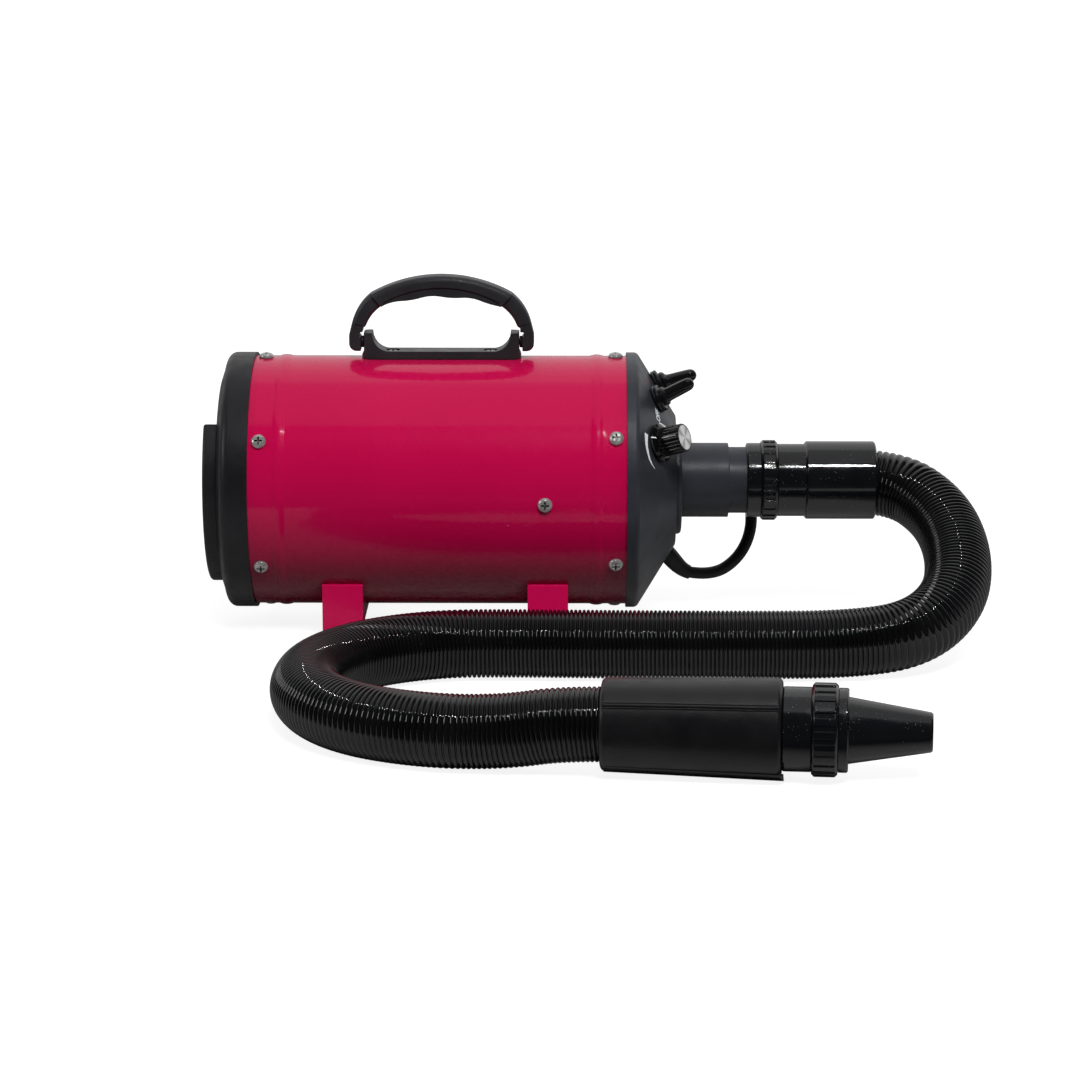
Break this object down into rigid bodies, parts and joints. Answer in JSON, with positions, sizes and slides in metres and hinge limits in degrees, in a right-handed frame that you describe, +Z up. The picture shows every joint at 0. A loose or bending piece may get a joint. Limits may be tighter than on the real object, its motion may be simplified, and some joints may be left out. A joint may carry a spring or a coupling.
{
  "type": "pet dryer",
  "caption": "Single-motor blower for drying pets: steel barrel with moulded caps, folding handle, speed knob, toggles, hose and tapered nozzle.",
  "frame": {"origin": "on the floor, under the middle of the machine without its hose and cord", "axes": "+X along the barrel towards the outlet, +Z up, -Y towards the side with the speed knob"},
  "size_m": [0.5112, 0.6119, 0.2331],
  "materials": {
    "crimson_paint": "gloss enamel",
    "black_moulding": "satin",
    "black_hose": "glossy",
    "black_rubber": "matte",
    "grey_foam": "open-cell foam",
    "zinc_steel": "zinc plated",
    "spun_aluminium": "spun",
    "brass": "plain",
    "copper_winding": "varnished windings",
    "mica": "mica board",
    "green_board": "circuit board"
  },
  "bodies": {
    "machine": {"barrel": "crimson_paint", "rear_cap": "black_moulding", "front_cap": "black_moulding", "outlet_spigot": "black_moulding", "barrel_screws": "zinc_steel", "finger_guard": "black_moulding", "rear_foot": "crimson_paint", "front_foot": "crimson_paint", "foot_pads": "black_rubber", "foot_screws": "zinc_steel", "barrel_nuts": "zinc_steel", "handle_base": "black_moulding", "handle_screws": "zinc_steel", "handle_pins": "zinc_steel", "potentiometer": "zinc_steel", "panel_nuts": "zinc_steel", "toggle_switches": "black_moulding", "front_toggle_boot": "black_rubber", "rear_toggle_boot": "black_rubber", "fan_housing": "zinc_steel", "stator": "copper_winding", "motor_frame": "zinc_steel", "motor_bearings": "zinc_steel", "brush_holders": "brass", "rear_mount_ring": "black_rubber", "motor_bracket": "zinc_steel", "front_mount_ring": "black_rubber", "noise_liner": "grey_foam", "heater_frame": "mica", "heater_coil": "zinc_steel", "thermal_cutout": "zinc_steel", "control_board": "green_board", "hose_coupler": "black_moulding", "hose_cuff": "black_moulding", "hose": "black_hose", "grip_sleeve": "black_rubber", "hose_end_socket": "black_moulding", "cord_relief": "black_rubber", "power_cord": "black_rubber", "cord_coil": "black_rubber", "plug_body": "black_rubber", "plug_pins": "brass"},
    "handle": {"handle_lugs": "black_moulding", "handle_arms": "black_moulding", "handle_grip": "black_moulding"},
    "filter": {"filter_cover": "black_moulding", "filter_pad": "grey_foam"},
    "knob": {"speed_knob": "black_moulding", "knob_disc": "spun_aluminium", "potentiometer_shaft": "brass"},
    "front_toggle": {"front_toggle_lever": "zinc_steel", "front_toggle_finger": "black_rubber"},
    "rear_toggle": {"rear_toggle_lever": "zinc_steel", "rear_toggle_finger": "black_rubber"},
    "rotor": {"impeller": "spun_aluminium", "motor_shaft": "zinc_steel", "armature": "copper_winding"},
    "outlet_ring": {"outlet_lock_ring": "black_moulding"},
    "nozzle_ring": {"nozzle_lock_ring": "black_moulding"},
    "nozzle": {"nozzle": "black_moulding"}
  },
  "joints": [
    {"name": "handle_fold", "type": "hinge", "parent": "machine", "child": "handle", "pos_m": [-0.03205, 0, 0.1887], "axis": [1, 0, 0], "range_deg": [-100, 100]},
    {"name": "filter_cover_pull", "type": "slide", "parent": "machine", "child": "filter", "axis": [-1, 0, 0], "range_m": [0, 0.02]},
    {"name": "speed_knob_turn", "type": "hinge", "parent": "machine", "child": "knob", "pos_m": [0.11064, -0.05222, 0.1304], "axis": [-0.851, 0.4375, -0.2907], "range_deg": [0, 280]},
    {"name": "front_toggle_rock", "type": "hinge", "parent": "machine", "child": "front_toggle", "pos_m": [0.10971, -0.02611, 0.15435], "axis": [0, -0.9135, -0.4067], "range_deg": [-16, 16]},
    {"name": "rear_toggle_rock", "type": "hinge", "parent": "machine", "child": "rear_toggle", "pos_m": [0.10971, 0, 0.1599], "axis": [0, -1, 0], "range_deg": [0, 32]},
    {"name": "fan_spin", "type": "hinge", "parent": "machine", "child": "rotor", "pos_m": [-0.0644, 0, 0.0957], "axis": [1, 0, 0], "continuous": true},
    {"name": "outlet_ring_twist", "type": "hinge", "parent": "machine", "child": "outlet_ring", "pos_m": [0.18495, 0, 0.0957], "axis": [1, 0, 0], "range_deg": [0, 45]},
    {"name": "nozzle_ring_twist", "type": "hinge", "parent": "machine", "child": "nozzle_ring", "pos_m": [0.19722, -0.37883, 0.0289], "axis": [0.9962, -0.0872, 0], "range_deg": [0, 45]},
    {"name": "nozzle_pull", "type": "slide", "parent": "machine", "child": "nozzle", "axis": [0.9962, -0.0872, 0], "range_m": [0, 0.02]}
  ]
}
